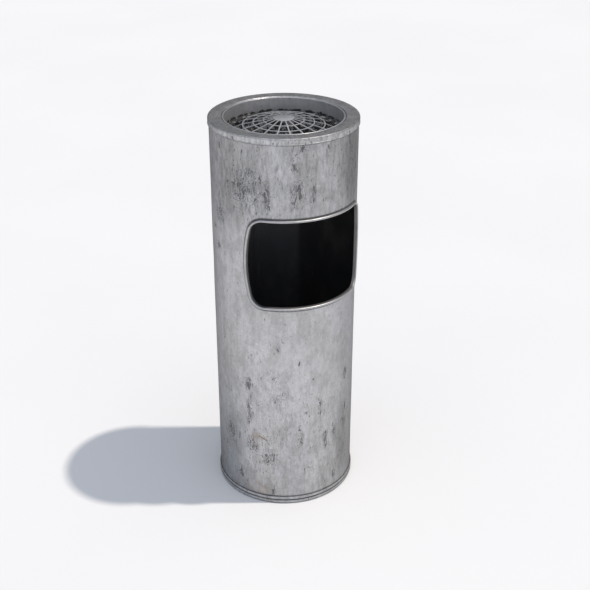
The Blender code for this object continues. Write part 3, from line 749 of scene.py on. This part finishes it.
def tube_points():
    """Flat (along, up) points and the edges that the triangulation must keep."""
    low = TUBE_BOTTOM - OPENING_HEIGHT
    high = TUBE_TOP - OPENING_HEIGHT
    columns = 168
    rows = 88
    points = []
    edges = []

    def line(made, closed=False):
        start = len(points)
        points.extend(made)
        edges.extend((start + index, start + index + 1) for index in range(len(made) - 1))
        if closed:
            edges.append((len(points) - 1, start))

    ups = [low + (high - low) * row / rows for row in range(rows + 1)]
    inner_seam = BACK - SEAM_HALF_WIDTH
    for along in (-BACK, -inner_seam - SEAM_STEP, -inner_seam, inner_seam, inner_seam + SEAM_STEP, BACK):
        line([(along, up) for up in ups])
    loop = outline_loop(corner_steps=18, side_steps=26, level_steps=44)
    for offset in (TRIM_WEB + GAP, 0.0036, 0.0044, GROOVE_MIDDLE, 0.0060, 0.0068, 0.0085):
        shifted = [(along + normal[0] * offset, up + normal[1] * offset) for along, up, normal in loop]
        line(shifted, closed=True)
    reach = inner_seam - 0.003
    for column in range(columns + 1):
        along = -reach + 2.0 * reach * column / columns
        for up in ups:
            if outside_opening(along, up) > 0.0105:
                points.append((along, up))
    return points, edges


def make_tube(outside, inside):
    points, edges = tube_points()
    flat = [Vector(point) for point in points]
    verts, _, faces, _, _, _ = delaunay_2d_cdt(flat, edges, [], 0, 1e-6)
    form = bmesh.new()
    # painted shade: a per-point attribute, strongest in the groove round the trim
    groove_shade = form.verts.layers.float.new("groove_shade")
    made = []
    for vert in verts:
        radius = tube_surface(vert.x, vert.y)
        made.append(form.verts.new(around(vert.x / TUBE_RADIUS, radius, OPENING_HEIGHT + vert.y)))
        made[-1][groove_shade] = max(0.0, 1.0 - abs(outside_opening(vert.x, vert.y) - GROOVE_SHADE_MIDDLE) / GROOVE_SHADE_HALF)
    for face in faces:
        middle = sum((verts[index] for index in face), Vector((0.0, 0.0))) / len(face)
        if outside_opening(middle.x, middle.y) > TRIM_WEB:
            form.faces.new([made[index] for index in face])
    bmesh.ops.delete(form, geom=[vert for vert in form.verts if not vert.link_faces], context="VERTS")
    bmesh.ops.remove_doubles(form, verts=form.verts, dist=1e-6)
    bmesh.ops.recalc_face_normals(form, faces=form.faces)
    outward = sum(face.normal.dot(Vector((face.calc_center_median().x, face.calc_center_median().y, 0.0)))
                  for face in form.faces)
    if outward < 0.0:
        bmesh.ops.reverse_faces(form, faces=form.faces)
    tube = add_mesh("tube", form, [outside, inside], sharp_degrees=40.0)
    wall = tube.modifiers.new("wall", "SOLIDIFY")
    wall.thickness = WALL
    wall.offset = -1.0
    wall.material_offset = 1
    stand_for(tube, "tube", "weathered_steel", "body_shell")


def make_trim(material):
    """The half-round edging, with its web and inner flange round the sheet's edge."""
    seat = TUBE_RADIUS + GAP
    face = TUBE_RADIUS - WALL - GAP
    back = face - 0.0010
    half = BEAD_WIDTH / 2
    section = [(0.0, back), (0.0045, back), (0.0045, face), (TRIM_WEB, face), (TRIM_WEB, seat - 0.0001)]
    section += [(BEAD_WIDTH - 0.0003, seat - 0.0001)]
    section += arc((half, seat + 0.0002), half, 0, 180, 14, radius_z=BEAD_RISE - 0.0002)
    rings = []
    for along, up, normal in outline_loop(corner_steps=18, side_steps=26, level_steps=70):
        ring = []
        for out, radius in section:
            turn = (along + normal[0] * out) / TUBE_RADIUS
            ring.append(around(turn, radius, OPENING_HEIGHT + up + normal[1] * out))
        rings.append(ring)
    form = bmesh.new()
    swept(form, rings, closed=True)
    trim = add_piece("trim", form, [material], sharp_degrees=50.0)
    stand_for(trim, "tube", "trim_steel", "aperture_trim")


# ---------------------------------------------------------------- foot

def make_foot(steel, rubber_material, paint):
    outer = foot_high.x
    inner = TUBE_RADIUS + 0.0004
    base = inner + 0.0003
    bead = 0.0062
    top = foot_high.z
    bottom = foot_low.z
    upper = arc((base, top - bead / 2), outer - base, 90, -90, 14, radius_z=bead / 2)
    lower = arc((base, bottom + bead / 2), outer - base, 90, -90, 14, radius_z=bead / 2)
    middle = (upper[-1][1] + lower[0][1]) / 2
    profile = [(inner, top)] + upper[:-1] + [(base - 0.0001, middle)] + lower[1:]
    profile += [(inner - 0.0002, bottom), (inner - 0.0002, 0.0028), (0.1140, 0.0028), (0.1140, 0.0043)]
    profile += [(inner, 0.0043)]
    foot = turned("foot", profile, [steel])
    stand_for(foot, "tube", "weathered_steel", "foot_ring")

    high = rubber_high.z
    wide = rubber_high.x
    slim = 0.1130
    profile = [(wide, high), (wide, 0.0006), (wide - 0.0006, 0.0)]
    for groove in range(3):
        start = wide - 0.0028 - 0.0024 * groove
        profile += [(start, 0.0), (start - 0.0003, 0.0005), (start - 0.0007, 0.0005), (start - 0.0010, 0.0)]
    profile += [(slim + 0.0005, 0.0), (slim, 0.0005), (slim, high)]
    ring = turned("rubber_ring", profile, [rubber_material])
    stand_for(ring, "tube", "rubber", "floor_ring")

    rim = base_high.x
    top = base_high.z
    profile = [(0.0, top - 0.0012), (0.040, top - 0.0012), (0.042, top), (rim - 0.016, top)]
    profile += [(rim - 0.014, top - 0.0012), (rim - 0.006, top - 0.0012), (rim - 0.005, top)]
    profile += arc((rim - 0.0015, top - 0.0015), 0.0015, 90, 0, 6)
    profile += [(rim, base_low.z), (rim - SHEET, base_low.z), (rim - SHEET, top - 0.0028)]
    profile += [(0.0, top - 0.0028)]
    plate = turned("floor_plate", profile, [paint], segments=128)
    stand_for(plate, "tube", "black_paint", "base_plate")


# ---------------------------------------------------------------- top ring, bowl and grille

def make_top_ring(steel, clip_material):
    outer = ring_high.x
    top = ring_high.z
    bottom = ring_low.z
    band = outer - 0.0003
    edge = 0.0021
    mouth = 0.1029
    ledge = 0.1006
    ledge_top = top - 0.0035
    hem = 0.00085
    profile = [(mouth + 0.0100, top), (outer - 0.0100, top)]
    profile += arc((band - edge, top - edge), edge, 90, 0, 10)
    profile += [(band, bottom + 2.6 * hem)]
    profile += arc((outer - hem, bottom + hem), hem, 60, -180, 12)
    profile += [(outer - WALL, bottom + 2.0 * hem), (outer - WALL, top - WALL), (mouth + WALL, top - WALL)]
    profile += [(mouth + WALL, ledge_top - WALL), (ledge, ledge_top - WALL)]
    profile += [(ledge, ledge_top), (mouth, ledge_top)]
    profile += arc((mouth + edge, top - edge), edge, 180, 90, 10)
    ring = turned("cap_ring", profile, [steel])
    stand_for(ring, "top", "weathered_steel", "top_ring")

    seat = top - WALL - GAP
    centre_line = [(0.1085, seat - 0.0004), (0.1182, seat - 0.0004), (0.1188, seat - 0.0007)]
    centre_line += [(0.1190, seat - 0.0014), (0.1206, seat - 0.008), (0.1212, seat - 0.013)]
    centre_line += [(0.1206, seat - 0.019), (0.1188, seat - 0.026)]
    half = 0.0004
    outward, inward = [], []
    for index, (radius, height) in enumerate(centre_line):
        before = centre_line[max(index - 1, 0)]
        after = centre_line[min(index + 1, len(centre_line) - 1)]
        run = Vector((after[0] - before[0], after[1] - before[1])).normalized()
        outward.append((radius - run.y * half, height + run.x * half))
        inward.append((radius + run.y * half, height - run.x * half))
    outline = outward + inward[::-1]
    for number in range(3):
        turn = math.tau * number / 3 + math.pi
        matrix = Matrix.Rotation(turn, 4, "Z")
        form = bmesh.new()
        sides = []
        for side in (-0.007, -0.0064, 0.0064, 0.007):
            pinch = 0.0 if abs(side) < 0.0069 else 0.00015
            sides.append([matrix @ Vector((side, -(radius - pinch), height)) for radius, height in outline])
        swept(form, sides, closed=False)
        clip = add_piece(f"clip_{number + 1}", form, [clip_material])
        stand_for(clip, "top", "bright_steel", f"ring_clip_{number + 1}")


def make_bowl(metal, outside_metal):
    """The pressed bowl with its rolled lip, a step for the grille and a shallow ring in its floor."""
    top = bowl_high.z
    floor = bowl_low.z + SHEET
    lip = 0.0014
    upper = bowl_high.x - 2.0 * lip
    lower = upper - 0.0060
    step = grille_low.z - GAP
    corner = 0.013
    centre = (lower - corner, floor + corner)
    seat = TOTAL_HEIGHT - 0.0035 + GAP
    profile = [(0.0, floor + 0.0015), (0.030, floor + 0.0015), (0.034, floor)]
    profile += arc(centre, corner, -90, 0, 10)
    profile += [(lower, step - 0.0010), (lower + 0.0010, step)]
    profile += [(upper - 0.0008, step), (upper, step + 0.0008)]
    profile += arc((upper + lip, top - lip), lip, 180, 0, 12)
    profile += [(upper + 2.0 * lip, seat), (upper + SHEET, seat), (upper + SHEET, step - SHEET)]
    profile += [(lower + SHEET, step - SHEET)]
    profile += arc(centre, corner + SHEET, 0, -90, 10)
    profile += [(0.034, floor - SHEET), (0.030, floor - SHEET + 0.0012), (0.0, floor - SHEET + 0.0012)]
    bowl = turned("bowl", profile, [metal, outside_metal], segments=224)
    for face in bowl.data.polygons:
        outward = face.normal.dot(Vector((face.center.x, face.center.y, 0.0))) > 0.0
        upright = abs(face.normal.z) < 0.05
        if face.center.z < seat and (face.normal.z < -0.05 or (upright and outward)):
            face.material_index = 1
    stand_for(bowl, "bowl", "bowl_steel", "ash_bowl")


GRILLE_SPOKES = 18
GRILLE_TURN = math.radians(-15.4)
GRILLE_RINGS = (0.0336, 0.0509, 0.0682)
GRILLE_HUB = 0.0173
GRILLE_BAND = 0.0885
GRILLE_SLOPE = 0.1965
SPOKE_WIDTH = 0.0021
RING_WIDTH = 0.0018


def make_grille(metal):
    """The stamped web: hub, spokes, rings and band, with its cut edges rounded."""
    hub_top = grille_high.z
    band_top = grille_low.z + SHEET
    outer = grille_high.x
    knee = GRILLE_RINGS[-1] + RING_WIDTH / 2
    knee_top = hub_top - GRILLE_SLOPE * (knee - GRILLE_HUB)
    outer_slope = (knee_top - band_top) / (GRILLE_BAND - knee)
    radii = [GRILLE_HUB]
    for radius in GRILLE_RINGS:
        radii += [radius - RING_WIDTH / 2, radius + RING_WIDTH / 2]
    radii += [GRILLE_BAND, outer - 0.0002]
    arc_steps = 5
    pitch = math.tau / GRILLE_SPOKES

    def point(radius, angle):
        height = hub_top - GRILLE_SLOPE * (radius - GRILLE_HUB)
        if radius > knee:
            height = knee_top - outer_slope * (min(radius, GRILLE_BAND) - knee)
        return around(angle, radius, height)

    form = bmesh.new()
    columns = []
    for spoke in range(GRILLE_SPOKES):
        middle = GRILLE_TURN + pitch * spoke
        for part in range(arc_steps + 1):
            column = []
            for radius in radii:
                half = math.asin(SPOKE_WIDTH / 2 / radius)
                angle = middle + half + (pitch - 2.0 * half) * part / arc_steps
                column.append(form.verts.new(point(radius, angle)))
            columns.append(column)
    for index, column in enumerate(columns):
        following = columns[(index + 1) % len(columns)]
        is_spoke = index % (arc_steps + 1) == arc_steps
        for level in range(len(radii) - 1):
            if is_spoke or level % 2 == 1:
                form.faces.new((column[level], following[level], following[level + 1], column[level + 1]))
    form.faces.new([column[0] for column in columns])
    grille = add_piece("web_grille", form, [metal])
    thick = grille.modifiers.new("sheet", "SOLIDIFY")
    thick.thickness = SHEET
    thick.offset = -1.0
    soft = grille.modifiers.new("cut_edges", "BEVEL")
    soft.width = 0.0003
    soft.segments = 2
    soft.limit_method = "ANGLE"
    soft.angle_limit = math.radians(40.0)
    stand_for(grille, "grille", "bowl_steel", "grille")


# ---------------------------------------------------------------- liner bucket

def make_bucket(paint):
    outer = 0.1040
    inner = outer - SHEET
    top = liner_high.z
    bottom = liner_low.z
    roll = 0.0022
    rim = (outer + 0.0005, top - roll)
    profile = [(outer, rim[1] - roll)]
    for height in (0.215, 0.195, 0.055):
        profile += [(outer, height + 0.003), (outer - 0.0008, height + 0.001)]
        profile += [(outer - 0.0008, height - 0.001), (outer, height - 0.003)]
    profile += [(outer, bottom), (inner, bottom)]
    for height in (0.055, 0.195, 0.215):
        profile += [(inner, height - 0.003), (inner - 0.0008, height - 0.001)]
        profile += [(inner - 0.0008, height + 0.001), (inner, height + 0.003)]
    profile += [(inner, rim[1])]
    profile += arc(rim, roll, 150, -75, 14)
    wall = turned("bucket_wall", profile, [paint], segments=160)
    stand_for(wall, "bucket", "black_paint", "inner_liner")

    edge = liner_base_high.x
    high = liner_base_high.z
    profile = [(0.0, high - 0.0010), (0.050, high - 0.0010), (0.053, high), (edge - 0.003, high)]
    profile += arc((edge - 0.0012, high - 0.0012), 0.0012, 90, 0, 5)
    profile += [(edge, bottom), (edge - SHEET, bottom), (edge - SHEET, high - 0.0024), (0.0, high - 0.0024)]
    base = turned("bucket_base", profile, [paint], segments=128)
    stand_for(base, "bucket", "black_paint", "liner_base")


def paint_nodes(names, material):
    for name in names:
        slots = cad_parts[name].material_slots
        for slot in slots:
            slot.material = material


# ---------------------------------------------------------------- stage, lights and camera

SKY_LOW = 0.23
SKY_OVERHEAD = 0.62
SKY_FRONT = 0.31
SKY_DIMMEST = 0.03
# what the camera itself sees past the floor's edge, which lights nothing
BACKDROP = 0.95
CAMERA_DISTANCE = 1.6610
CAMERA_HEIGHT = 1.2230
CAMERA_PITCH = math.radians(27.277)
CAMERA_YAW = math.radians(0.636)
CAMERA_LENS = 63.82


def make_camera():
    data = bpy.data.cameras.new("camera")
    data.lens = CAMERA_LENS
    data.sensor_width = 36.0
    camera = bpy.data.objects.new("camera", data)
    camera.location = around(CAMERA_TURN, CAMERA_DISTANCE, CAMERA_HEIGHT)
    camera.rotation_euler = (math.pi / 2 - CAMERA_PITCH, 0.0, CAMERA_TURN - CAMERA_YAW)
    bpy.context.collection.objects.link(camera)
    bpy.context.scene.camera = camera


def make_floor():
    shader = Shader("pale_floor")
    tone = shader.noise(shader.stretched(1.3, 1.3), detail=2.0)["Fac"]
    colour = shader.mix(shader.span(tone, 0.3, 0.7), (0.80, 0.80, 0.80), (0.82, 0.82, 0.815))
    material = shader.finish(colour, 0.9, Specular_IOR_Level=0.1)
    form = bmesh.new()
    bmesh.ops.create_grid(form, x_segments=1, y_segments=1, size=30.0)
    floor = add_piece("floor", form, [material])


def aim(lamp, target):
    lamp.rotation_euler = (Vector(target) - lamp.location).to_track_quat("-Z", "Y").to_euler()


def make_lights():
    sun_data = bpy.data.lights.new("sun", "SUN")
    sun_data.energy = 2.08
    sun_data.angle = math.radians(1.6)
    sun_data.color = (1.0, 0.92, 0.84)
    sun = bpy.data.objects.new("sun", sun_data)
    level = math.cos(SUN_ELEVATION)
    sun.location = around(SUN_TURN, 3.0 * level, 3.0 * math.sin(SUN_ELEVATION))
    aim(sun, (0.0, 0.0, 0.0))
    bpy.context.collection.objects.link(sun)


def make_studio():
    """A soft pale dome: brighter overhead and towards the camera, dimmer low down behind the object."""
    world = bpy.data.worlds.new("studio")
    world.use_nodes = True
    tree = world.node_tree
    background = tree.nodes["Background"]
    background.inputs["Color"].default_value = (0.86, 0.92, 1.04, 1.0)
    coordinates = tree.nodes.new("ShaderNodeTexCoord")
    lean = tree.nodes.new("ShaderNodeVectorMath")
    lean.operation = "DOT_PRODUCT"
    lean.inputs[1].default_value = around(CAMERA_TURN, SKY_FRONT, SKY_OVERHEAD)
    tree.links.new(coordinates.outputs["Generated"], lean.inputs[0])
    strength = tree.nodes.new("ShaderNodeMath")
    strength.operation = "ADD"
    strength.inputs[1].default_value = SKY_LOW
    tree.links.new(lean.outputs["Value"], strength.inputs[0])
    floor_level = tree.nodes.new("ShaderNodeMath")
    floor_level.operation = "MAXIMUM"
    floor_level.inputs[1].default_value = SKY_DIMMEST
    tree.links.new(strength.outputs[0], floor_level.inputs[0])
    seen = tree.nodes.new("ShaderNodeLightPath")
    backdrop = tree.nodes.new("ShaderNodeMath")
    backdrop.operation = "MULTIPLY"
    backdrop.inputs[1].default_value = BACKDROP
    tree.links.new(seen.outputs["Is Camera Ray"], backdrop.inputs[0])
    shown = tree.nodes.new("ShaderNodeMath")
    shown.operation = "MAXIMUM"
    tree.links.new(floor_level.outputs[0], shown.inputs[0])
    tree.links.new(backdrop.outputs[0], shown.inputs[1])
    tree.links.new(shown.outputs[0], background.inputs["Strength"])
    bpy.context.scene.world = world
    bpy.context.scene.view_settings.view_transform = "Standard"


# ---------------------------------------------------------------- put it together

tube_steel = weathered_steel("weathered_steel", on_tube=True)
fitting_steel = weathered_steel("weathered_fitting", on_tube=False)
inside_black = inside_paint("tube_inside")
bucket_black = bucket_paint("bucket_black")
trim_metal = trim_steel("trim_metal")
bowl_metal = bowl_steel("bowl_metal", 0.46, 0.34, 0.60, 0.088, 0.92)
bowl_outside = bowl_steel("bowl_outside", 0.50, 0.36, 0.70, 0.200, 0.30)
grille_metal = bowl_steel("grille_metal", 0.66, 0.38, 0.85, 0.074, 0.92)
zinc = zinc_steel("zinc")
rubber_black = rubber("ribbed_rubber")
grip_black = moulded_plastic("grip_plastic")

make_camera()
make_floor()
make_lights()
make_studio()
make_tube(tube_steel, inside_black)
make_trim(trim_metal)
make_foot(fitting_steel, rubber_black, bucket_black)
make_top_ring(fitting_steel, zinc)
make_bowl(bowl_metal, bowl_outside)
make_grille(grille_metal)
make_bucket(bucket_black)
paint_nodes(("liner_ear_left", "liner_ear_right", "liner_handle"), bucket_black)
paint_nodes([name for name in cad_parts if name.startswith("ear_rivet")], zinc)
paint_nodes(("handle_grip",), grip_black)
